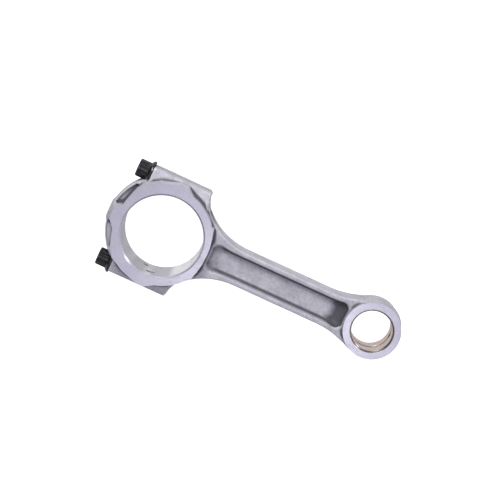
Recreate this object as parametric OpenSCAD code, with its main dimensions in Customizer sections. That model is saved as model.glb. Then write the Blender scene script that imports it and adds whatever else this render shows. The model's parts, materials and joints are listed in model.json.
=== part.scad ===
// Connecting rod with a bolted big-end cap and a bushed small end.
// Origin: centre of the big-end bore, on the mid-plane of the rod.
// +X points to the small end, +Z runs along both bores, and the split is the plane x = 0.

/* [Overall] */
// Distance between the two bore centres
centre_distance = 155; // [145:1:170]

/* [Big end] */
// Diameter of the bearing housing bore
big_bore_d = 55; // [53:0.5:55.5]
// Width of the big end over its two side faces
big_width = 31.3; // [28:0.1:34]
// Radial width of the raised side face
big_face_wall = 5.8; // [4.5:0.1:6.4]
// Half height of the side face at the split
split_half = 36.3; // [35:0.1:37.5]
// Outer radius of the cap's back
cap_back_r = 39.5; // [38.5:0.1:41]
// Chamfer at both mouths of the bore
big_chamfer = 1.2; // [0.4:0.1:1.6]

/* [Bolt bosses] */
// Distance between the two bolt axes
bolt_pitch = 66.6; // [66:0.1:68]
// Half height of the rod over its bolt bosses
boss_half = 38.9; // [38.6:0.1:40]
// Thickness of the bolt bosses along Z
boss_thickness = 19; // [17:0.5:20]
// Depth of the cap from the split to the bolt seats
seat_depth = 23; // [21:0.5:25]
// Length of the rod's shoulders from the split
shoulder_length = 17.5; // [16:0.5:19]

/* [Cap bolts] */
// Nominal thread diameter
bolt_d = 9; // [8:0.5:9]
// Length below the head
bolt_length = 39.5; // [36:0.5:40]
// Width across the flats of the twelve-point head
head_af = 11; // [10:0.5:11]
// Height of the twelve-point head above its flange
head_height = 7.5; // [6:0.5:9]
// Diameter of the head's flange
flange_d = 16.2; // [15:0.2:16.4]
// Thickness of the flange
flange_height = 3.2; // [2:0.2:4]

/* [Beam] */
// Width of the beam along Y
beam_width = 24.2; // [23:0.2:26]
// Thickness of the beam over its flanges
beam_thickness = 16.8; // [15:0.2:18]
// Thickness of the web between the two pockets
web_thickness = 5.6; // [4:0.2:8]
// Width of the flat land along each flange
flange_land = 3.2; // [2.6:0.1:3.8]

/* [Small end] */
// Outer diameter of the eye at its side faces
eye_d = 39.8; // [39:0.2:42]
// Width of the eye over its side faces
eye_width = 22.4; // [20:0.2:24]
// Bore of the two bushes, for the piston pin
pin_bore_d = 28; // [26:0.5:28]
// Wall thickness of the bushes
bush_wall = 1; // [0.8:0.1:1.5]
// Gap between the two bushes, which feeds oil to the pin
bush_gap = 1.6; // [1:0.1:3]
// Diameter of the oil hole at the end of the eye
oil_hole_d = 4; // [2.5:0.5:5]

/* [Hidden] */
$fn = 96;

eps = 0.01;
big_r = big_bore_d / 2;
big_half = big_width / 2;
face_r = big_r + big_face_wall;
bolt_y = bolt_pitch / 2;
bolt_r = bolt_d / 2;
thread_clearance = 0.05;
hole_clearance = 0.3;

// Neck: one concave arc joins each shoulder to the beam.
beam_half = beam_width / 2;
beam_top = beam_thickness / 2;
neck_r = 47.6;
neck_end_x = 57;
shoulder_slant = 2.2;
shoulder_y = 30;

// Eye: drafted outside, and one concave arc joins it to the beam.
eye_r = eye_d / 2;
eye_half = eye_width / 2;
eye_draft = 0.6;
eye_mid_r = eye_r + eye_draft;
eye_neck_start = 37;
eye_neck_x = centre_distance - eye_neck_start;
// Radius of the arc that is tangent to the beam's side and to the eye.
eye_neck_r = (pow(eye_neck_start, 2) + pow(beam_half, 2) - pow(eye_mid_r, 2))
    / (2 * (eye_mid_r - beam_half));

bush_r = pin_bore_d / 2 + bush_wall;
bush_recess = 0.6;
bush_length = eye_half - bush_recess - bush_gap / 2;

// Pockets: drafted trenches with round corners, one on each side of the web.
pocket_top_half = beam_half - flange_land;
pocket_draft = 2.6;
pocket_corner = 5;
pocket_start_x = face_r + 0.8;
pocket_wide_x = 52;
pocket_wide_extra = 1.2;
pocket_end_x = centre_distance - eye_mid_r + 0.4;

// Cap back: half thickness of the rim, and the rib over its middle.
rim_half = 7.5;
rim_round = 2.5;
rib_half = 5.5;
rib_x = 36.2;
spot_r = flange_d / 2 + 0.5;

// Notches for the tangs of the bearing shells, either side of the split.
tang_width = 4.8;
tang_depth = 1.2;
tang_length = 6.4;
rod_tang_z = 6.7;
cap_tang_z = -7.9;

// A rectangle with round corners, centred on the origin.
module rounded_rect(w, h, r) {
    square([w - 2 * r, h], center = true);
    square([w, h - 2 * r], center = true);
    for (sx = [-1, 1], sy = [-1, 1])
        translate([sx * (w / 2 - r), sy * (h / 2 - r)])
            circle(r);
}

// Outline of the raised side face, whole, with a blunt vertex at each end of the split.
module side_face_outline() {
    circle(face_r);
    for (side = [-1, 1])
        scale([1, side])
            polygon([
                [0, 0], [29.5, 18.3], [24, face_r * 0.72], [12, face_r * 0.94],
                [2.5, split_half], [-2.5, split_half],
                [-24, split_half - 9], [-28.5, 21], [-29.8, 15]
            ]);
    polygon([
        [0, -10], [-31.3, -10], [-34.6, -7.2], [-rib_x, -4.5],
        [-rib_x, 4.5], [-34.6, 7.2], [-31.3, 10], [0, 10]
    ]);
}

// Keeps one side of the split: the rod's with side = 1, the cap's with side = -1.
module half_space(side) {
    reach = 2 * centre_distance;
    translate([side > 0 ? 0 : -reach, -reach / 2, -reach / 2])
        cube(reach);
}

module side_face_block(side) {
    intersection() {
        linear_extrude(big_width, center = true) side_face_outline();
        half_space(side);
    }
}

// The housing bore with a chamfer at each mouth.
module big_bore_cut() {
    cylinder(r = big_r, h = 2 * big_width, center = true);
    for (side = [-1, 1])
        scale([1, 1, side])
            translate([0, 0, big_half - big_chamfer])
                cylinder(r1 = big_r, r2 = big_r + big_chamfer + eps, h = big_chamfer + eps);
}

// A shallow notch in the bore wall at the lower end of the split.
module tang_notch(side, z) {
    translate([side > 0 ? -eps : -tang_length, -big_r - tang_depth, z - tang_width / 2])
        cube([tang_length + eps, tang_depth + 4, tang_width]);
}

// One bolt hole or boss lies along X at each side of the bore.
module at_bolts() {
    for (side = [-1, 1])
        translate([0, side * bolt_y, 0])
            rotate([0, 90, 0])
                children();
}

module bosses(x0, x1) {
    inner = big_r - 2;
    for (side = [-1, 1])
        translate([x0, side * (boss_half + inner) / 2, 0])
            rotate([0, 90, 0])
                linear_extrude(x1 - x0)
                    rounded_rect(boss_thickness, boss_half - inner, 3);
}

// Side view of the shoulders and the neck, down to the beam's width.
module neck_outline() {
    difference() {
        for (side = [-1, 1])
            scale([1, side])
                polygon([
                    [0, 0], [0, boss_half], [shoulder_length, boss_half],
                    [shoulder_length + shoulder_slant, shoulder_y],
                    [neck_end_x, shoulder_y], [neck_end_x, 0]
                ]);
        for (side = [-1, 1])
            translate([neck_end_x, side * (beam_half + neck_r)])
                circle(neck_r);
    }
}

// The beam, widening into the eye through a tangent arc on each side.
module beam_outline() {
    translate([neck_end_x - eps, -beam_half])
        square([centre_distance - neck_end_x, beam_width]);
    difference() {
        translate([eye_neck_x, -eye_mid_r])
            square([eye_neck_start - 9, 2 * eye_mid_r]);
        for (side = [-1, 1])
            translate([eye_neck_x, side * (beam_half + eye_neck_r)])
                circle(eye_neck_r);
    }
}

// Corner of a pocket: a cone that opens upwards from the web.
module pocket_corner(x, y) {
    translate([x, y, web_thickness / 2])
        cylinder(r1 = pocket_corner - pocket_draft, r2 = pocket_corner,
                 h = beam_top - web_thickness / 2 + eps, $fn = 32);
}

module pocket_run(x0, x1, half0, half1) {
    hull()
        for (side = [-1, 1]) {
            pocket_corner(x0 + pocket_corner, side * (half0 - pocket_corner));
            pocket_corner(x1 - pocket_corner, side * (half1 - pocket_corner));
        }
}

module pockets() {
    for (side = [-1, 1])
        scale([1, 1, side]) {
            pocket_run(pocket_start_x, pocket_wide_x + 2 * pocket_corner,
                       pocket_top_half + pocket_wide_extra, pocket_top_half);
            pocket_run(pocket_wide_x, pocket_end_x, pocket_top_half, pocket_top_half);
        }
}

module eye_solid() {
    translate([centre_distance, 0, 0])
        rotate_extrude()
            polygon([
                [0, -eye_half], [eye_r, -eye_half], [eye_mid_r, 0],
                [eye_r, eye_half], [0, eye_half]
            ]);
}

module oil_hole() {
    translate([centre_distance, 0, 0])
        rotate([0, 90, 0])
            cylinder(d = oil_hole_d, h = eye_mid_r + 1);
}

// The forging: beam, small-end eye, shoulders and the rod's half of the big end.
module rod_body() {
    color([0.70, 0.70, 0.73])
        difference() {
            union() {
                difference() {
                    union() {
                        linear_extrude(beam_thickness, center = true) {
                            neck_outline();
                            beam_outline();
                        }
                        intersection() {
                            linear_extrude(boss_thickness, center = true) neck_outline();
                            bosses(0, shoulder_length + shoulder_slant);
                        }
                    }
                    pockets();
                }
                side_face_block(1);
                eye_solid();
            }
            big_bore_cut();
            tang_notch(1, rod_tang_z);
            at_bolts()
                translate([0, 0, -eps])
                    cylinder(r = bolt_r + thread_clearance, h = shoulder_length + 10);
            translate([centre_distance, 0, 0])
                cylinder(r = bush_r, h = 2 * eye_width, center = true);
            oil_hole();
        }
}

// The cap's back: a rim with rounded edges and a drafted rib over its middle.
module cap_back() {
    intersection() {
        rotate_extrude()
            polygon([
                [0, -rim_half], [cap_back_r - rim_round, -rim_half],
                [cap_back_r, rim_round - rim_half], [cap_back_r, rim_half - rim_round],
                [cap_back_r - rim_round, rim_half], [0, rim_half]
            ]);
        half_space(-1);
        translate([-cap_back_r, -boss_half, -rim_half])
            cube([cap_back_r, 2 * boss_half, 2 * rim_half]);
    }
    rotate([90, 0, 0])
        linear_extrude(2 * rib_half, center = true)
            polygon([
                [-face_r, -big_half], [-rib_x, -big_half], [-cap_back_r, 1 - rim_half],
                [-cap_back_r, rim_half - 1], [-rib_x, big_half], [-face_r, big_half]
            ]);
}

// The cap carries the other half of the big end and the two bolt seats.
module big_end_cap() {
    color([0.72, 0.72, 0.75])
        difference() {
            union() {
                cap_back();
                bosses(-seat_depth, 0);
                side_face_block(-1);
            }
            big_bore_cut();
            tang_notch(-1, cap_tang_z);
            at_bolts() {
                cylinder(r = bolt_r + hole_clearance, h = 2 * seat_depth + 20, center = true);
                translate([0, 0, -seat_depth - 2 * cap_back_r])
                    cylinder(r = spot_r, h = 2 * cap_back_r);
            }
        }
}

// Flanged twelve-point bolt on the X axis, its seat at x = -seat_depth.
module cap_bolt() {
    tip = 1;
    corner_r = head_af / sqrt(3);
    translate([-seat_depth, 0, 0])
        rotate([0, 90, 0]) {
            cylinder(r = bolt_r, h = bolt_length - tip);
            translate([0, 0, bolt_length - tip])
                cylinder(r1 = bolt_r, r2 = bolt_r - tip, h = tip);
            translate([0, 0, -flange_height])
                cylinder(d = flange_d, h = flange_height);
            for (turn = [0, 30])
                rotate(turn)
                    translate([0, 0, -flange_height - head_height])
                        cylinder(r = corner_r, h = head_height, $fn = 6);
        }
}

module cap_bolt_upper() {
    color([0.10, 0.10, 0.11])
        translate([0, bolt_y, 0])
            cap_bolt();
}

module cap_bolt_lower() {
    color([0.10, 0.10, 0.11])
        translate([0, -bolt_y, 0])
            cap_bolt();
}

// A half-width bush, pressed in from one side of the eye, notched by the oil hole.
module bush() {
    difference() {
        translate([centre_distance, 0, bush_gap / 2])
            difference() {
                cylinder(r = bush_r, h = bush_length);
                translate([0, 0, -1])
                    cylinder(d = pin_bore_d, h = bush_length + 2);
            }
        oil_hole();
    }
}

module small_end_bush_front() {
    color([0.78, 0.66, 0.55])
        bush();
}

module small_end_bush_rear() {
    color([0.78, 0.66, 0.55])
        mirror([0, 0, 1])
            bush();
}

rod_body();
big_end_cap();
cap_bolt_upper();
cap_bolt_lower();
small_end_bush_front();
small_end_bush_rear();
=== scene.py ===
"""Connecting rod: the visible pieces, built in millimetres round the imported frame."""

import json
import math

import bmesh
import bpy
import numpy as np
import openvdb
from mathutils import Matrix, Vector


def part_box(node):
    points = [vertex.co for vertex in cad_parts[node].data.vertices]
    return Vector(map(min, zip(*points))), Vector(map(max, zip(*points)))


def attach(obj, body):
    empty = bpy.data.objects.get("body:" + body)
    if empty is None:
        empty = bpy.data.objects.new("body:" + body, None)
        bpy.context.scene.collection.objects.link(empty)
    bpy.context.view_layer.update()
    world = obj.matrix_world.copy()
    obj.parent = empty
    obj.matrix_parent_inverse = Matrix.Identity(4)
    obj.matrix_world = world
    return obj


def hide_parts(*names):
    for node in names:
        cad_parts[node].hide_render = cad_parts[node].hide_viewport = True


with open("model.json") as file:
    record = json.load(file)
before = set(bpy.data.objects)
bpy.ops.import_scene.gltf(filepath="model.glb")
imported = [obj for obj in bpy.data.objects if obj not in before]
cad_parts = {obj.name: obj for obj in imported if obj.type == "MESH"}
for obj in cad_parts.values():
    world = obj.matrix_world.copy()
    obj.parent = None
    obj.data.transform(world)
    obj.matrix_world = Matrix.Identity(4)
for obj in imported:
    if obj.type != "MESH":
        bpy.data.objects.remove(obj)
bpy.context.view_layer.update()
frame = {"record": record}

MM = 0.001

# ---------------------------------------------------------------- sizes from the frame, in mm

mounts = {m["name"]: m for m in frame["record"]["mounts"]}
big_bore_r = mounts["big_end_bore"]["dims"]["r_mm"]
pin_r = mounts["small_end_bore"]["dims"]["r_mm"]
eye_x = mounts["small_end_bore"]["pos_m"][0] / MM


def box_mm(node):
    low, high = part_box(node)
    return np.array(low) / MM, np.array(high) / MM


rod_low, rod_high = box_mm("rod_body")
cap_low, _ = box_mm("big_end_cap")
bolt_low, bolt_high = box_mm("cap_bolt_upper")
bush_low, bush_high = box_mm("small_end_bush_front")

big_half = rod_high[2]
boss_half = rod_high[1]
bolt_y = (bolt_low[1] + bolt_high[1]) / 2
flange_r = (bolt_high[1] - bolt_low[1]) / 2
bolt_tip_x = bolt_high[0]
bolt_head_x = bolt_low[0]
bush_r = (bush_high[1] - bush_low[1]) / 2
bush_inner_z = bush_low[2]
bush_outer_z = bush_high[2]
cap_back_r = -cap_low[0]

# ---------------------------------------------------------------- sizes of the finish, in mm

face_r = big_bore_r + 5.9       # side face round the big end
split_half = 36.3               # side face at the split, from the middle
face_draft = 0.16
big_chamfer = 1.2

boss_top = 9.5
boss_round = 1.6
boss_inner_y = 31.0
boss_draft = 0.22
shoulder_x = 17.5
shoulder_slant = 0.24
seat_x = -23.0                  # bolt seats on the cap

rim_top = 7.4
rim_end_y = 31.0
recess_r = 38.0
recess_floor = 5.3

beam_half = 11.8
beam_top = 8.4
beam_draft = 0.087
beam_edge = 1.0
web_half = 2.8
neck_x = 57.0
neck_r = 47.6

eye_half = 11.2
eye_face_r = 19.8
eye_draft = 0.075
eye_neck_x = eye_x - 37.0

pocket_start_x = 33.6
pocket_half = 8.7
pocket_draft = 0.2
pocket_edge = 0.8

thread_pitch = 1.25
thread_depth = 0.62
tapped_r = 4.55
bolt_thread_r = 4.48
bolt_hole_r = 4.8
head_flats = 11.0
flange_height = 3.2
oil_r = 2.0
tang_r = 7.0

voxel = 0.6                     # grid the forgings are sampled on


# ---------------------------------------------------------------- distance fields, negative inside

def round_union(a, b, r):
    """Union with a concave fillet of radius r."""
    corner = np.hypot(np.maximum(r - a, 0), np.maximum(r - b, 0))
    return np.maximum(r, np.minimum(a, b)) - corner


def round_both(a, b, r):
    """Intersection with a convex edge of radius r."""
    corner = np.hypot(np.maximum(r + a, 0), np.maximum(r + b, 0))
    return np.minimum(-r, np.maximum(a, b)) + corner


def round_cut(a, b, r):
    """a without b, with a convex edge of radius r."""
    return round_both(a, -b, r)


def smoothstep(value, start, end):
    """0 at start, 1 at end."""
    t = np.clip((value - start) / (end - start), 0, 1)
    return t * t * (3 - 2 * t)


def outline_distance(outline, x, y):
    """Signed distance to a closed outline of (x, y) points."""
    nearest = np.full(np.shape(x * y), 1e9)
    inside = np.zeros(np.shape(x * y), bool)
    for (x0, y0), (x1, y1) in zip(outline, outline[1:] + outline[:1]):
        ex, ey = x1 - x0, y1 - y0
        t = np.clip(((x - x0) * ex + (y - y0) * ey) / (ex * ex + ey * ey), 0, 1)
        nearest = np.minimum(nearest, (x - x0 - t * ex) ** 2 + (y - y0 - t * ey) ** 2)
        if y0 != y1:
            crosses = ((y0 > y) != (y1 > y)) & (x < x0 + (y - y0) * ex / (y1 - y0))
            inside = inside ^ crosses
    return np.where(inside, -1.0, 1.0) * np.sqrt(nearest)


def arc(cx, cy, r, start, end, steps):
    """Points on an arc, angles in degrees."""
    angles = np.radians(np.linspace(start, end, steps))
    return [(cx + r * math.cos(a), cy + r * math.sin(a)) for a in angles]


def side_face_outline():
    """Edge of the ground side face, anticlockwise from its rightmost point."""
    rod_side = [(32.3, 0), (32.1, 6), (31.0, 12), (29.3, 18.3)]
    rod_side += arc(0, 0, face_r + 0.2, 36, 74, 20) + [(2.5, split_half)]
    cap_side = [(-2.5, split_half), (-15, 32.4), (-24.2, 27.2), (-28.1, 21.8), (-29.9, 16.2)]
    cap_side += [(-32.0, 8.9), (-34.9, 5.4), (-36.0, 3.2)]
    upper = rod_side + cap_side
    lower = [(x, -y) for x, y in reversed(upper[1:])]
    return upper + lower


SIDE_FACE = side_face_outline()


def half_width(x):
    """Half width of the beam at its front edge, and the cosine of its side's slope."""
    into_big = np.clip(neck_x - x, 0, neck_r * 0.93)
    eye_mid_r = eye_face_r + eye_half * eye_draft
    run = eye_x - eye_neck_x
    eye_neck_r = (run ** 2 + beam_half ** 2 - eye_mid_r ** 2) / (2 * (eye_mid_r - beam_half))
    into_eye = np.clip(x - eye_neck_x, 0, run)
    big_rise = neck_r - np.sqrt(neck_r ** 2 - into_big ** 2)
    eye_rise = eye_neck_r - np.sqrt(eye_neck_r ** 2 - into_eye ** 2)
    slope = np.arcsin(into_big / neck_r) + np.arcsin(into_eye / eye_neck_r)
    tuck = 0.5 * smoothstep(x, eye_x - 18, eye_x - 9)
    return beam_half + big_rise + eye_rise - tuck, np.cos(slope)


def waviness(x, y, z):
    """Slight unevenness that a forging keeps, in mm."""
    a = np.sin(0.41 * x + 0.9 * np.sin(0.23 * y + 1.0)) * np.sin(0.53 * y + 0.31 * x)
    b = np.sin(0.19 * x - 0.33 * y + 0.27 * z + 2.0)
    return 0.03 * a + 0.03 * b


def parting_line(z):
    """Trimmed flash along the mid-plane."""
    return 0.16 * np.exp(-(z / 0.6) ** 2)


def pocket_field(x, ay, az):
    """The trench on each side of the web, with swept ends."""
    depth = beam_top - az
    widen = 1.6 * np.clip((52 - x) / 16, 0, 1) ** 2 + 1.0 * np.clip((x - 118) / 14, 0, 1) ** 2
    side = ay - (pocket_half + widen) + depth * pocket_draft
    big_end = (pocket_start_x - x + depth * 0.7) * 0.82
    near_eye = (x - (eye_x - eye_face_r + 0.2) + depth * 0.55) * 0.88
    walls = round_both(round_both(side, big_end, 5.5), near_eye, 5.0)
    floor = web_half - az
    return round_both(walls, floor, 3.4)


def boss_field(ay, az, end):
    """Bolt boss on one side of the split. end is the distance past its end face."""
    front = (az - boss_top + (ay - boss_inner_y) * boss_draft) * 0.97
    section = round_both(ay - boss_half, front, boss_round)
    return round_both(section, end, 0.6)


def by_recess(x, y):
    """1 at the two recesses on the cap's back, 0 elsewhere."""
    angle = np.degrees(np.arctan2(np.abs(y), -x))
    return smoothstep(angle, 10, 15) * smoothstep(angle, 48, 39)


def side_face_field(x, y, az):
    """The raised block under the side face, drafted outwards below it, most of all by the split."""
    growth = (big_half - np.maximum(az, 6.0)) * face_draft
    steeper = np.maximum(0.9 * by_recess(x, y), 0.65 * smoothstep(x, 1, 7))
    return outline_distance(SIDE_FACE, x, y) - growth * (1 - steeper)


def rod_forging(x, y, z):
    ay, az = np.abs(y), np.abs(z)
    half, slope = half_width(x)
    side = (ay - half - (beam_top - az) * beam_draft) * slope
    beam = round_both(side, az - beam_top, beam_edge)
    beam = np.maximum(beam, x - (eye_x - 9.5))
    beam = np.maximum(beam, (20.0 - x))
    end = (x - shoulder_x) * 0.972 + (ay - boss_half) * shoulder_slant + (az - boss_top) * 0.12
    boss = boss_field(ay, az, end)
    body = round_union(beam, boss, 2.0)
    body = round_cut(body, pocket_field(x, ay, az), pocket_edge)
    body = round_union(body, side_face_field(x, y, az), 1.2)
    eye_side = np.hypot(x - eye_x, y) - eye_face_r - (eye_half - az) * eye_draft
    eye = round_both(eye_side, az - eye_half - 1.0, 0.5)
    body = round_union(body, eye, 1.5)
    return body - parting_line(z) + waviness(x, y, z)


def cap_forging(x, y, z):
    ay, az = np.abs(y), np.abs(z)
    rim_side = np.hypot(x, y) - cap_back_r + az * 0.1
    rim = round_both(rim_side, az - rim_top, 1.4)
    recess = round_both(np.hypot(x, y) - recess_r, recess_floor - az, 0.9)
    recess = round_both(recess, ay * 0.766 + x * 0.643, 1.5)
    rim = round_cut(rim, recess, 0.7)
    rim = np.maximum(rim, ay - rim_end_y)
    boss = boss_field(ay, az, seat_x - 0.15 - x)
    body = round_union(rim, boss, 1.0)
    body = round_union(body, side_face_field(x, y, az), 1.2)
    rib_end = (-x - 36.2) * 0.974 - (big_half - az) * 0.225
    rib_side = ay - 4.6 - (big_half - az) * 0.2
    rib = round_both(rib_end, rib_side, 2.0)
    body = round_union(body, np.maximum(rib, az - big_half - 1), 1.2)
    return body - parting_line(z) + waviness(x, y, z)


# ---------------------------------------------------------------- meshes

def mesh_object(name, points, faces):
    """New object from points in mm."""
    mesh = bpy.data.meshes.new(name)
    mesh.from_pydata(np.asarray(points, float) * MM, [], [tuple(f) for f in faces])
    shell = bmesh.new()
    shell.from_mesh(mesh)
    bmesh.ops.recalc_face_normals(shell, faces=shell.faces)
    shell.to_mesh(mesh)
    shell.free()
    piece = bpy.data.objects.new(name, mesh)
    bpy.context.scene.collection.objects.link(piece)
    return piece


def forged_object(name, field, low, high, voxel):
    """Closed mesh of a field: sampled on a grid, then its points moved onto the true surface."""
    axes = [np.arange(a, b + voxel, voxel) for a, b in zip(low, high)]
    grid = np.meshgrid(*axes, indexing="ij", sparse=True)
    values = np.clip(field(*grid), -3 * voxel, 3 * voxel)
    volume = openvdb.FloatGrid(3 * voxel)
    volume.copyFromArray(values.astype(np.float32))
    points, quads = volume.convertToQuads()
    points = points.astype(float) * voxel + np.array(low)
    step = 0.05
    for _ in range(3):
        x, y, z = points.T
        gradient = np.stack([
            field(x + step, y, z) - field(x - step, y, z),
            field(x, y + step, z) - field(x, y - step, z),
            field(x, y, z + step) - field(x, y, z - step),
        ], axis=1) / (2 * step)
        size = np.maximum((gradient ** 2).sum(1), 0.2)
        move = -(field(x, y, z) / size)[:, None] * gradient
        points += np.clip(move, -0.5 * voxel, 0.5 * voxel)
    return mesh_object(name, points, quads.tolist())


def lathe(name, profile, steps=192):
    """Solid of revolution about Z. A profile closes on itself unless it starts on the axis."""
    angles = np.linspace(0, 2 * math.pi, steps, endpoint=False)
    rings = []
    points = []
    for r, z in profile:
        if r == 0:
            rings.append([len(points)] * steps)
            points.append((0, 0, z))
        else:
            rings.append(list(range(len(points), len(points) + steps)))
            points += [(r * math.cos(a), r * math.sin(a), z) for a in angles]
    pairs = list(zip(rings, rings[1:]))
    if profile[0][0] != 0:
        pairs.append((rings[-1], rings[0]))
    faces = []
    for low, high in pairs:
        for i in range(steps):
            j = (i + 1) % steps
            face = [low[i], low[j], high[j], high[i]]
            faces.append([v for k, v in enumerate(face) if v != face[k - 1]])
    return mesh_object(name, points, faces)


def block(name, low, high):
    """A box, used as a cutter."""
    points = [(x, y, z) for x in (low[0], high[0]) for y in (low[1], high[1]) for z in (low[2], high[2])]
    faces = [(0, 1, 3, 2), (4, 6, 7, 5), (0, 4, 5, 1), (2, 3, 7, 6), (0, 2, 6, 4), (1, 5, 7, 3)]
    return mesh_object(name, points, faces)


def prism(name, outline, low, high):
    """Extrudes a closed anticlockwise outline along Z."""
    n = len(outline)
    points = [(x, y, low) for x, y in outline] + [(x, y, high) for x, y in outline]
    faces = [[(i + 1) % n, i, n + i, n + (i + 1) % n][::-1] for i in range(n)]
    faces += [list(range(n))[::-1], list(range(n, 2 * n))]
    return mesh_object(name, points, faces)


def placed(piece, location=(0, 0, 0), along_x=False):
    """Moves a piece, after turning its Z axis to X where asked. location is in mm."""
    turn = Matrix.Rotation(math.radians(90), 4, "Y") if along_x else Matrix.Identity(4)
    piece.data.transform(Matrix.Translation(Vector(location) * MM) @ turn)
    return piece


def combine(piece, tool, operation):
    """Boolean with a throwaway tool."""
    modifier = piece.modifiers.new("combine", "BOOLEAN")
    modifier.solver = "MANIFOLD"
    modifier.operation = operation
    modifier.object = tool
    depsgraph = bpy.context.evaluated_depsgraph_get()
    mesh = bpy.data.meshes.new_from_object(piece.evaluated_get(depsgraph))
    piece.modifiers.clear()
    old, piece.data = piece.data, mesh
    bpy.data.meshes.remove(old)
    bpy.data.objects.remove(tool, do_unlink=True)
    return piece


def cut(piece, *tools):
    for tool in tools:
        combine(piece, tool, "DIFFERENCE")
    return piece


def smooth_shaded(piece, degrees=28):
    piece.data.shade_smooth()
    piece.data.set_sharp_from_angle(angle=math.radians(degrees))
    return piece


def bore_cutter(r, half, chamfer, reach):
    """Cylinder that opens into a chamfer at both faces of a boss of half width half."""
    mouth = r + chamfer + (reach - half)
    return lathe("bore_cutter", [
        (0, -reach), (mouth, -reach), (r, chamfer - half),
        (r, half - chamfer), (mouth, reach), (0, reach),
    ])


def side_slabs(half, x0, x1):
    """Cutters that leave a flat ground face on each side."""
    return [
        block("slab", (x0, -45, low), (x1, 45, high))
        for low, high in ((half, half + 12), (-half - 12, -half))
    ]


def thread_cutter(r, pitch, z0, z1, depth, lead=0.0, steps=64, rows_per_turn=14):
    """A threaded cylinder about Z with crests at radius r. lead shifts the helix along Z."""
    rows = int((z1 - z0) / pitch * rows_per_turn)
    heights = np.linspace(z0, z1, rows + 1)
    angles = np.linspace(0, 2 * math.pi, steps, endpoint=False)
    z, a = np.meshgrid(heights, angles, indexing="ij")
    phase = ((z - lead) / pitch - a / (2 * math.pi)) % 1.0
    flank = np.clip((np.abs(phase - 0.5) * 2 - 0.14) / 0.72, 0, 1)
    radius = r - depth * flank
    points = np.stack([radius * np.cos(a), radius * np.sin(a), z], axis=-1).reshape(-1, 3).tolist()
    faces = []
    for i in range(rows):
        for j in range(steps):
            k = (j + 1) % steps
            faces.append((i * steps + j, i * steps + k, (i + 1) * steps + k, (i + 1) * steps + j))
    faces.append(tuple(range(steps))[::-1])
    faces.append(tuple(range(rows * steps, (rows + 1) * steps)))
    return mesh_object("thread", points, faces)


# ---------------------------------------------------------------- pieces

def tang_notch(x, z, depth, width=2.6):
    """Milled notch that starts at the lower end of the split and runs out along the bore wall."""
    half = width / 2
    notch = lathe("notch", [(0, -half), (tang_r, -half), (tang_r, half), (0, half)], 64)
    return placed(notch, (x, tang_r - big_bore_r - depth, z))


def make_rod():
    rod = forged_object("rod", rod_forging, (-1.5, -41, -18), (178, 41, 18), voxel)
    cut(rod, *side_slabs(big_half, -5, 70), *side_slabs(eye_half, 120, 190))
    cut(rod, block("split", (-12, -50, -30), (0, 50, 30)))
    cut(rod, bore_cutter(big_bore_r, big_half, big_chamfer, 26))
    cut(rod, placed(bore_cutter(bush_r, eye_half, 0.2, 20), (eye_x, 0, 0)))
    cut(rod, tang_notch(1.2, 6.7, 1.2))
    for side in (-1, 1):
        thread = thread_cutter(tapped_r, thread_pitch, -1, 24, thread_depth)
        mouth = lathe("mouth", [(0, -1), (6.0, -1), (4.0, 1.0), (0, 1.0)], 96)
        place = (0, side * bolt_y, 0)
        cut(rod, placed(thread, place, True), placed(mouth, place, True))
    oil = lathe("oil", [(0, 0), (oil_r, 0), (oil_r, 19.6), (oil_r + 3, 22.6), (0, 22.6)], 64)
    cut(rod, placed(oil, (eye_x, 0, 0), True))
    return smooth_shaded(rod)


def make_cap():
    cap = forged_object("cap", cap_forging, (-42, -41, -18), (1.5, 41, 18), voxel)
    cut(cap, *side_slabs(big_half, -50, 20))
    cut(cap, block("split", (0, -50, -30), (12, 50, 30)))
    cut(cap, bore_cutter(big_bore_r, big_half, big_chamfer, 26))
    cut(cap, tang_notch(0.6, -7.0, 1.0))
    for side in (-1, 1):
        spot_r = flange_r + 0.5
        spot = lathe("spot", [
            (0, -40), (spot_r, -40), (spot_r, -0.8), (spot_r - 0.8, 0), (0, 0)
        ], 128)
        hole = lathe("hole", [
            (0, -2), (bolt_hole_r + 2.4, -2), (bolt_hole_r, 0.4), (bolt_hole_r, 30), (0, 30)
        ], 96)
        place = (seat_x, side * bolt_y, 0)
        cut(cap, placed(spot, place, True), placed(hole, place, True))
    return smooth_shaded(cap)


def twelve_point_outline(across_flats, tip_round):
    """Outline of two crossed hexagons with slightly rounded points."""
    tip_r = across_flats / math.sqrt(3)
    root_r = across_flats / 2 / math.cos(math.radians(15))
    outline = []
    for k in range(12):
        a = math.radians(30 * k)
        tip = Vector((tip_r * math.cos(a), tip_r * math.sin(a)))
        for offset in (-15, 15):
            b = a + math.radians(offset)
            root = Vector((root_r * math.cos(b), root_r * math.sin(b)))
            outline.append(tip.lerp(root, tip_round / (tip - root).length))
        b = a + math.radians(15)
        outline.append(Vector((root_r * math.cos(b), root_r * math.sin(b))))
    return [(p.x, p.y) for p in outline]


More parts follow.
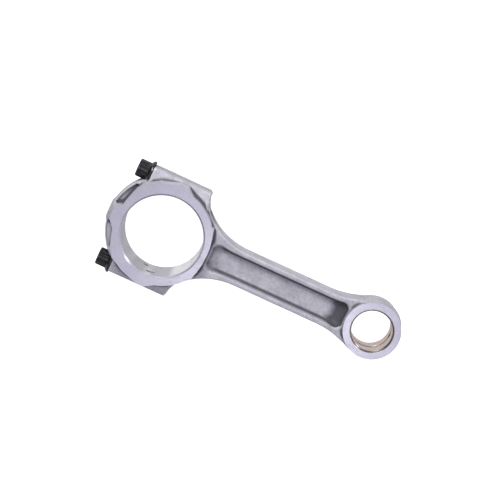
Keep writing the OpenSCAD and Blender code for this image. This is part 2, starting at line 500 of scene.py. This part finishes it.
def make_bolt(name, side):
    """Flanged twelve-point bolt, built about Z with its seat at 0 and its head below."""
    top = bolt_head_x - seat_x
    length = bolt_tip_x - seat_x
    head = prism("head", twelve_point_outline(head_flats, 0.35), top, -flange_height + 0.5)
    crown = lathe("crown", [(0, top), (5.3, top), (6.5, top + 0.75), (6.5, 0), (0, 0)], 96)
    combine(head, crown, "INTERSECT")
    dimple = lathe("dimple", [
        (0, top - 1), (3.4, top - 1), (3.4, top + 0.25), (2.6, top + 0.6), (0, top + 0.6)
    ], 64)
    cut(head, dimple)
    body = lathe(name, [
        (0, -flange_height - 0.4), (5.4, -flange_height - 0.4), (6.3, -flange_height),
        (flange_r - 0.5, -flange_height + 1.3), (flange_r - 0.12, -flange_height + 1.5),
        (flange_r, -flange_height + 1.8), (flange_r, -0.3),
        (flange_r - 0.3, 0), (5.2, 0), (4.7, 0.15), (4.45, 0.6), (4.45, 18), (4.0, 18.6),
        (4.0, 21.5), (0, 21.5)
    ], 128)
    combine(body, head, "UNION")
    # led from the split, so that it lies in the grooves of the tapped hole
    thread = thread_cutter(bolt_thread_r, thread_pitch, 21.0, length, thread_depth, lead=-seat_x)
    point = lathe("point", [
        (0, 20), (6, 20), (6, length - 1.2), (4.8, length - 1.2), (3.6, length), (0, length)
    ], 96)
    combine(thread, point, "INTERSECT")
    combine(body, thread, "UNION")
    placed(body, (seat_x, side * bolt_y, 0), True)
    return smooth_shaded(body, 32)


def make_bush(name, side):
    inner, outer = bush_inner_z, bush_outer_z
    bush = lathe(name, [
        (pin_r, inner + 0.3), (pin_r + 0.3, inner), (bush_r, inner), (bush_r, outer),
        (pin_r + 0.7, outer), (pin_r, outer - 0.7)
    ], 256)
    placed(bush, (eye_x, 0, 0))
    oil = lathe("oil", [(0, 0), (oil_r, 0), (oil_r, 20), (0, 20)], 64)
    cut(bush, placed(oil, (eye_x, 0, 0), True))
    if side < 0:
        bush.data.transform(Matrix.Scale(-1, 4, (0, 0, 1)))
        bush.data.flip_normals()
    return smooth_shaded(bush)


# ---------------------------------------------------------------- materials

class Graph:
    """Short calls for a material's nodes. Lengths are in mm, in the part's own frame."""

    def __init__(self, name):
        self.material = bpy.data.materials.new(name)
        self.material.use_nodes = True
        self.tree = self.material.node_tree
        self.shader = self.tree.nodes["Principled BSDF"]
        self.place = self.node("ShaderNodeTexCoord").outputs["Object"]

    def node(self, kind, settings=None, inputs=None):
        made = self.tree.nodes.new(kind)
        for key, value in (settings or {}).items():
            setattr(made, key, value)
        for key, value in (inputs or {}).items():
            self.feed(made.inputs[key], value)
        return made

    def feed(self, socket, value):
        if isinstance(value, bpy.types.NodeSocket):
            self.tree.links.new(value, socket)
        else:
            socket.default_value = value

    def shade(self, **values):
        for key, value in values.items():
            self.feed(self.shader.inputs[key.replace("_", " ")], value)

    def math(self, operation, a, b=0.0):
        return self.node("ShaderNodeMath", {"operation": operation}, {0: a, 1: b}).outputs[0]

    def length(self, a, b):
        squares = [self.math("POWER", value, 2.0) for value in (a, b)]
        return self.math("SQRT", self.math("ADD", *squares))

    def stretched(self, size):
        """Coordinates that grow by one over size mm, per axis."""
        scale = tuple(1 / (MM * s) for s in size)
        inputs = {0: self.place, 1: scale}
        return self.node("ShaderNodeVectorMath", {"operation": "MULTIPLY"}, inputs).outputs[0]

    def noise(self, size, detail=3.0, roughness=0.55, distortion=0.0):
        """Noise from 0 to 1 with lumps of size mm, a number or one for each axis."""
        size = size if isinstance(size, tuple) else (size,) * 3
        return self.node("ShaderNodeTexNoise", None, {
            "Vector": self.stretched(size), "Scale": 1.0, "Detail": detail,
            "Roughness": roughness, "Distortion": distortion,
        }).outputs[0]

    def dimples(self, size):
        """Overlapping round dents of about size mm, 0 at their middles."""
        return self.node("ShaderNodeTexVoronoi", {"feature": "SMOOTH_F1"}, {
            "Vector": self.stretched((size,) * 3), "Scale": 1.0, "Smoothness": 0.35,
        }).outputs["Distance"]

    def remap(self, value, low, high, start=0.0, end=1.0):
        return self.node("ShaderNodeMapRange", {"interpolation_type": "SMOOTHSTEP"}, {
            "Value": value, "From Min": low, "From Max": high, "To Min": start, "To Max": end,
        }).outputs[0]

    def blend(self, factor, a, b):
        """Colour a where factor is 0, b where it is 1."""
        mix = self.node("ShaderNodeMix", {"data_type": "RGBA"}, {0: factor})
        for socket, value in ((mix.inputs[6], a), (mix.inputs[7], b)):
            self.feed(socket, value if isinstance(value, bpy.types.NodeSocket) else (*value, 1))
        return mix.outputs[2]

    def bump(self, height, depth, normal=None):
        """Relief of depth mm where height goes from 0 to 1."""
        inputs = {"Height": height, "Distance": depth * MM, "Strength": 1.0}
        if normal is not None:
            inputs["Normal"] = normal
        return self.node("ShaderNodeBump", None, inputs).outputs[0]

    def attribute(self, name):
        return self.node("ShaderNodeAttribute", {"attribute_name": name}).outputs["Fac"]


def forged_skin():
    """Shot-blasted drop forging: dents and mottling, painted shade in the hollows, painted highlights on
    the proud edges.
    """
    g = Graph("forged_skin")
    cloud = g.noise(9.0, 4.0)
    mottle = g.noise(1.7, 4.0, 0.7)
    speck = g.noise(0.45, 2.0, 0.6)
    dents = g.dimples(0.75)
    colour = g.blend(g.remap(cloud, 0.35, 0.65), (0.525, 0.518, 0.552), (0.62, 0.612, 0.65))
    colour = g.blend(g.remap(mottle, 0.42, 0.75, 0.0, 0.26), colour, (0.27, 0.268, 0.28))
    colour = g.blend(g.remap(speck, 0.55, 0.8, 0.0, 0.5), colour, (0.62, 0.615, 0.63))
    shade_and_edge_light = g.attribute("shade_and_edge_light")
    # painted shade: darker in the hollows and at the shaded places added to the attribute
    colour = g.blend(g.remap(shade_and_edge_light, 0.2, 1.5, 0.0, 0.9), colour, (0.09, 0.088, 0.1))
    # painted highlight along the proud edges, broken up by the mottle
    edge_highlight = g.math("MULTIPLY", g.remap(shade_and_edge_light, -1.15, -1.85), g.remap(mottle, 0.3, 0.55, 0.5, 1.0))
    colour = g.blend(g.math("MULTIPLY", edge_highlight, 0.7), colour, (0.74, 0.735, 0.76))
    rough = g.remap(mottle, 0.3, 0.7, 0.66, 0.82)
    rough = g.math("SUBTRACT", rough, g.math("MULTIPLY", edge_highlight, 0.06))
    normal = g.bump(cloud, 0.08)
    normal = g.bump(g.noise(2.2, 2.0), 0.03, normal)
    normal = g.bump(dents, 0.05, normal)
    normal = g.bump(speck, 0.02, normal)
    g.shade(Base_Color=colour, Metallic=0.7, Roughness=rough, Normal=normal)
    g.shade(Specular_Tint=(0.4, 0.4, 0.4, 1))
    return g.material


def ground_face():
    """Surface-ground side face: long arcs from the wheel, a lavender cast and a few scratches."""
    g = Graph("ground_face")
    wheel = (0.09, -0.42, 0.0)
    away = g.node("ShaderNodeVectorMath", {"operation": "DISTANCE"}, {0: g.place, 1: wheel})
    lay = g.node("ShaderNodeTexNoise", {"noise_dimensions": "1D"}, {
        "W": away.outputs["Value"], "Scale": 1 / (0.35 * MM), "Detail": 3.0, "Roughness": 0.7,
    }).outputs[0]
    cloud = g.noise(14.0, 3.0)
    stain = g.noise(3.5, 4.0, 0.65)
    scratch = g.remap(g.noise((26.0, 0.5, 8.0), 2.0, 0.5, 0.3), 0.66, 0.72)
    colour = g.blend(g.remap(cloud, 0.3, 0.7), (0.56, 0.55, 0.625), (0.62, 0.61, 0.685))
    colour = g.blend(g.remap(lay, 0.35, 0.7, 0.0, 0.35), colour, (0.47, 0.46, 0.53))
    colour = g.blend(g.remap(stain, 0.5, 0.75, 0.0, 0.35), colour, (0.44, 0.43, 0.49))
    colour = g.blend(g.math("MULTIPLY", scratch, 0.3), colour, (0.72, 0.70, 0.80))
    rough = g.math("ADD", g.remap(lay, 0.3, 0.7, 0.26, 0.38), g.remap(stain, 0.45, 0.75, 0.0, 0.1))
    normal = g.bump(lay, 0.002)
    normal = g.bump(scratch, -0.006, normal)
    g.shade(Base_Color=colour, Metallic=0.9, Roughness=rough, Normal=normal)
    return g.material


def bored_wall(name, dark, bright, metallic):
    """Bored wall: fine rings across Z with a faint cross-hatch, and a painted reflection: broad light
    and dark bands along Z.
    """
    g = Graph(name)
    rings = g.noise((60.0, 60.0, 0.28), 3.0, 0.7)
    hatch = g.noise((5.0, 5.0, 0.5), 3.0, 0.6, 1.0)
    # painted reflection: light and dark bands running along the bore
    reflection_bands = g.noise((17.0, 17.0, 200.0), 1.0)
    colour = g.blend(g.remap(reflection_bands, 0.38, 0.62), dark, bright)
    colour = g.blend(g.remap(rings, 0.35, 0.7, 0.0, 0.4), colour, dark)
    rough = g.math("ADD", g.remap(rings, 0.3, 0.7, 0.13, 0.24), g.remap(hatch, 0.4, 0.7, 0.0, 0.06))
    normal = g.bump(rings, 0.006)
    normal = g.bump(hatch, 0.004, normal)
    g.shade(Base_Color=colour, Metallic=metallic, Roughness=rough, Normal=normal)
    return g.material


def cracked_joint():
    """Split face, cracked apart: coarse bright grains."""
    g = Graph("cracked_joint")
    grain = g.noise(0.7, 4.0, 0.75)
    lumps = g.noise(3.2, 3.0, 0.6)
    facets = g.dimples(0.9)
    colour = g.blend(g.remap(grain, 0.3, 0.7), (0.20, 0.198, 0.205), (0.52, 0.515, 0.525))
    rough = g.remap(grain, 0.3, 0.7, 0.4, 0.68)
    normal = g.bump(lumps, 0.45)
    normal = g.bump(facets, 0.28, normal)
    normal = g.bump(grain, 0.12, normal)
    g.shade(Base_Color=colour, Metallic=0.9, Roughness=rough, Normal=normal)
    return g.material


def drilled_steel():
    """Drilled and turned steel in holes, threads and bolt seats: cutter marks, a little oil."""
    g = Graph("drilled_steel")
    marks = g.noise((0.3, 12.0, 12.0), 2.0, 0.6)
    film = g.noise(2.6, 3.0, 0.6)
    colour = g.blend(g.remap(film, 0.35, 0.7), (0.46, 0.455, 0.47), (0.22, 0.218, 0.225))
    colour = g.blend(g.remap(marks, 0.4, 0.7, 0.0, 0.4), colour, (0.6, 0.595, 0.61))
    rough = g.remap(marks, 0.3, 0.7, 0.25, 0.42)
    g.shade(Base_Color=colour, Metallic=1.0, Roughness=rough, Normal=g.bump(marks, 0.012))
    return g.material


def black_oxide():
    """Phosphated and oiled bolt steel, lighter on the points of the head and the rim of the flange:
    partly rubbed wear, partly a painted highlight.
    """
    g = Graph("black_oxide")
    parts = g.node("ShaderNodeSeparateXYZ", None, {0: g.place}).outputs
    off_axis = g.math("SUBTRACT", g.math("ABSOLUTE", parts[1]), bolt_y * MM)
    radius = g.length(off_axis, parts[2])
    tip = g.remap(radius, 6.15 * MM, 6.35 * MM)
    tip = g.math("MULTIPLY", tip, g.math("LESS_THAN", radius, 6.6 * MM))
    flange = g.remap(radius, 7.85 * MM, 8.1 * MM)
    wear = g.remap(g.noise(0.9, 3.0, 0.7), 0.48, 0.62)
    # rubbed wear that also serves as a painted highlight on the points and the flange rim
    rub_and_highlight = g.math("MULTIPLY", g.math("MAXIMUM", tip, flange), wear)
    grain = g.noise(0.16, 3.0, 0.6)
    cloud = g.noise(2.4, 3.0)
    colour = g.blend(g.remap(cloud, 0.3, 0.7), (0.007, 0.0072, 0.008), (0.017, 0.017, 0.019))
    colour = g.blend(g.remap(grain, 0.55, 0.75, 0.0, 0.5), colour, (0.045, 0.045, 0.048))
    colour = g.blend(g.math("MULTIPLY", rub_and_highlight, 0.5), colour, (0.16, 0.158, 0.16))
    rough = g.math("SUBTRACT", g.remap(cloud, 0.3, 0.7, 0.2, 0.34), g.math("MULTIPLY", rub_and_highlight, 0.1))
    normal = g.bump(grain, 0.02)
    normal = g.bump(cloud, 0.03, normal)
    g.shade(Base_Color=colour, Metallic=0.3, Roughness=rough, Normal=normal)
    return g.material


def bush_bronze():
    """Pale tin bronze, fine-bored: rings across Z, a little tarnish, painted shade on the ends."""
    g = Graph("bush_bronze")
    rings = g.noise((40.0, 40.0, 0.22), 3.0, 0.7)
    tarnish = g.noise((5.0, 5.0, 2.5), 4.0, 0.6)
    colour = g.blend(g.remap(tarnish, 0.35, 0.7), (1.0, 0.88, 0.81), (0.92, 0.79, 0.71))
    colour = g.blend(g.remap(rings, 0.4, 0.7, 0.0, 0.35), colour, (0.62, 0.49, 0.41))
    parts = g.node("ShaderNodeSeparateXYZ", None, {0: g.place}).outputs
    along = g.math("SUBTRACT", parts[0], eye_x * MM)
    radius = g.length(along, parts[1])
    # painted shade on everything outside the bore: the end faces and their chamfers
    end_shade = g.remap(radius, (pin_r + 0.04) * MM, (pin_r + 0.2) * MM, 0.0, 0.85)
    colour = g.blend(end_shade, colour, (0.13, 0.105, 0.09))
    rough = g.remap(rings, 0.3, 0.7, 0.2, 0.34)
    g.shade(Base_Color=colour, Metallic=1.0, Roughness=rough, Normal=g.bump(rings, 0.008))
    return g.material


# ---------------------------------------------------------------- which finish each face takes

FORGED, GROUND, BORED, CHAMFER, CRACKED, DRILLED = range(6)


def painted_shade_by_place(x, y, z):
    """Painted shade by place: the cap's recesses, the pocket's eye end, the foot of the ring, the neck
    and the pocket walls.
    """
    ay, az = np.abs(y), np.abs(z)
    ring_r = np.hypot(x, y)
    half, _ = half_width(x)
    recess = by_recess(x, y) * smoothstep(ring_r, 39.0, 37.8)
    pocket_end = smoothstep(x, 119, 132) * smoothstep(x, 137, 135) * smoothstep(az, 8.2, 7.2)
    pocket_end = pocket_end * smoothstep(ay, 11.4, 10.8)
    foot = smoothstep(x, 3, 9) * smoothstep(ring_r, 37, 35.5) * smoothstep(az, 15.6, 14.5)
    neck = smoothstep(x, 19, 22) * smoothstep(x, 44, 32) * smoothstep(az, 8.2, 7.0)
    neck = neck * smoothstep(ay, half - 1.5, half - 0.5)
    wall = smoothstep(ay, 5.8, 7.2) * smoothstep(ay, 10.8, 10.0) * smoothstep(x, 38, 46)
    wall = wall * smoothstep(az, 2.9, 4.0) * smoothstep(az, 8.5, 7.8) * smoothstep(x, 138, 134)
    # how much shade is painted at each place
    scale = np.maximum.reduce([
        0.3 * recess, 1.7 * pocket_end, 0.6 * foot, 0.5 * neck, 0.75 * wall,
    ])
    # less painted shade on the lower recess than on the upper one
    return scale - 0.6 * recess * (y < 0)


def painted_shade_attribute(piece, field, reach=2.2):
    """Stores how concave (over 0) or proud (under 0) the forging is round each point, plus the painted
    shade by place: the skin paints shade where it is high and a highlight where it is low.
    """
    points = np.empty(len(piece.data.vertices) * 3)
    piece.data.vertices.foreach_get("co", points)
    x, y, z = points.reshape(-1, 3).T / MM
    around = sum(
        field(x + reach * i, y + reach * j, z + reach * k)
        for i, j, k in ((1, 0, 0), (-1, 0, 0), (0, 1, 0), (0, -1, 0), (0, 0, 1), (0, 0, -1))
    )
    shade_and_edge_light = (6 * field(x, y, z) - around) / reach
    store = piece.data.attributes.new("shade_and_edge_light", "FLOAT", "POINT")
    # the painted shade by place is added on top of the concavity
    store.data.foreach_set("value", shade_and_edge_light + painted_shade_by_place(x, y, z))


def finish_faces(piece):
    """Gives each face of a forging its finish: as forged, or as the tool that cut it left it."""
    count = len(piece.data.polygons)
    centre, normal = np.empty(count * 3), np.empty(count * 3)
    piece.data.polygons.foreach_get("center", centre)
    piece.data.polygons.foreach_get("normal", normal)
    x, y, z = centre.reshape(-1, 3).T / MM
    nx, _, nz = normal.reshape(-1, 3).T
    by_eye = x > neck_x
    finish = np.full(count, FORGED)
    ground_z = np.where(by_eye, eye_half, big_half)
    finish[(np.abs(nz) > 0.99) & (np.abs(np.abs(z) - ground_z) < 0.02)] = GROUND
    finish[(np.hypot(x, y) < big_bore_r + big_chamfer + 0.3) & (finish == FORGED)] = BORED
    finish[(finish == BORED) & (np.abs(nz) > 0.4)] = CHAMFER
    in_notch = (np.hypot(x, y) > big_bore_r + 0.02) & (np.abs(z) < big_half - 3) & ~by_eye
    finish[in_notch & ((finish == BORED) | (finish == CHAMFER))] = DRILLED
    finish[(np.hypot(x - eye_x, y) < bush_r + 0.3) & (finish == FORGED)] = BORED
    finish[(np.abs(x) < 0.02) & (np.abs(nx) > 0.99)] = CRACKED
    in_bolt_hole = (np.hypot(np.abs(y) - bolt_y, z) < 6.0) & (x > seat_x - 0.02) & (x < 26)
    seat = (np.abs(x - seat_x) < 0.02) & (np.abs(nx) > 0.99)
    in_oil_hole = (x > eye_x) & (np.hypot(y, z) < oil_r + 0.05)
    finish[(in_bolt_hole & (finish == FORGED)) | seat | in_oil_hole] = DRILLED
    piece.data.polygons.foreach_set("material_index", finish.astype(np.int32))
    piece.data.update()


rod = make_rod()
cap = make_cap()
bolts = [make_bolt("bolt_upper", 1), make_bolt("bolt_lower", -1)]
bushes = [make_bush("bush_front", 1), make_bush("bush_rear", -1)]
steel = [
    forged_skin(),
    ground_face(),
    bored_wall("bored_wall", (0.48, 0.475, 0.51), (0.98, 0.975, 1.0), 1.0),
    bored_wall("turned_chamfer", (0.66, 0.65, 0.72), (0.82, 0.81, 0.88), 0.65),
    cracked_joint(),
    drilled_steel(),
]
black = [black_oxide()]
bronze = [bush_bronze()]
for piece, node, body, slot, finishes in (
    (rod, "rod_body", "rod", "forged_steel", steel),
    (cap, "big_end_cap", "cap", "cap_steel", steel),
    (bolts[0], "cap_bolt_upper", "bolt_upper", "black_bolt_steel", black),
    (bolts[1], "cap_bolt_lower", "bolt_lower", "black_bolt_steel", black),
    (bushes[0], "small_end_bush_front", "rod", "bush_bronze", bronze),
    (bushes[1], "small_end_bush_rear", "rod", "bush_bronze", bronze),
):
    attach(piece, body)
    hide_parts(node)
    piece.data.materials.clear()
    for finish in finishes:
        piece.data.materials.append(finish)
for piece, field in ((rod, rod_forging), (cap, cap_forging)):
    finish_faces(piece)
    # attribute that drives the painted shade and the painted edge highlights
    painted_shade_attribute(piece, field)


# ---------------------------------------------------------------- stage, light and camera

reach = 3000
corners = [(-reach, -reach, 0), (reach, -reach, 0), (reach, reach, 0), (-reach, reach, 0)]
floor = mesh_object("floor", corners, [(0, 1, 2, 3)])
floor.location.z = (rod_low[2] - 0.02) * MM
# white to the camera, as in a cut-out picture, but dimmer to the steel that reflects it
paper = Graph("paper")
seen = paper.node("ShaderNodeLightPath").outputs["Is Camera Ray"]
glow = paper.remap(seen, 0.0, 1.0, 0.34, 1.0)
paper.shade(Base_Color=(0.4, 0.4, 0.4, 1), Roughness=0.9)
paper.shade(Emission_Color=(1, 1, 1, 1), Emission_Strength=glow)
floor.data.materials.append(paper.material)

# sky: brightest along one tilted direction, dimmest opposite it
world = bpy.data.worlds.new("studio")
world.use_nodes = True
sky = world.node_tree
facing = sky.nodes.new("ShaderNodeVectorMath")
facing.operation = "DOT_PRODUCT"
facing.inputs[1].default_value = Vector((0.42, 0.2, 0.88)).normalized()
sky.links.new(sky.nodes.new("ShaderNodeTexCoord").outputs["Generated"], facing.inputs[0])
brightness = sky.nodes.new("ShaderNodeMapRange")
brightness.inputs["From Min"].default_value = -0.1
brightness.inputs["To Min"].default_value = 0.1
brightness.inputs["To Max"].default_value = 0.78
sky.links.new(facing.outputs["Value"], brightness.inputs["Value"])
backdrop = sky.nodes["Background"]
backdrop.inputs["Color"].default_value = (1.0, 0.975, 1.12, 1)
sky.links.new(brightness.outputs[0], backdrop.inputs["Strength"])
bpy.context.scene.world = world
bpy.context.scene.view_settings.view_transform = "Standard"


def soft_light(name, direction, distance, size, power):
    """Square area light in the given direction from the middle of the rod."""
    lamp = bpy.data.lights.new(name, "AREA")
    lamp.size = size
    lamp.energy = power
    holder = bpy.data.objects.new(name, lamp)
    bpy.context.scene.collection.objects.link(holder)
    middle = Vector((0.06, 0, 0))
    holder.location = middle + Vector(direction).normalized() * distance
    holder.rotation_euler = (middle - holder.location).to_track_quat("-Z", "Y").to_euler()


soft_light("key", (-0.45, 0.66, 0.6), 1.0, 0.35, 7.0)
soft_light("kicker", (0.58, 0.8, 0.14), 1.0, 0.2, 0.5)
soft_light("panel", (0.085, -0.15, 0.5), 0.55, 0.16, 0.2)

# camera at the photograph's angle: its direction from the aim point, then turned about its view
aim = Vector((57.8, 13.5, 0)) * MM
camera_distance = 892 * MM
azimuth, elevation, roll = (math.radians(a) for a in (110.23, 77.76, -175.12))
back = Vector((
    math.cos(elevation) * math.cos(azimuth),
    math.cos(elevation) * math.sin(azimuth),
    math.sin(elevation),
))
level = Vector((0, 0, 1)).cross(back).normalized()
turn = Matrix((level, back.cross(level), back)).transposed().to_4x4()
camera_data = bpy.data.cameras.new("camera")
camera_data.lens = 95.27
camera_data.sensor_width = 36
camera = bpy.data.objects.new("camera", camera_data)
bpy.context.scene.collection.objects.link(camera)
place = Matrix.Translation(aim + back * camera_distance)
camera.matrix_world = place @ turn @ Matrix.Rotation(roll, 4, "Z")
bpy.context.scene.camera = camera
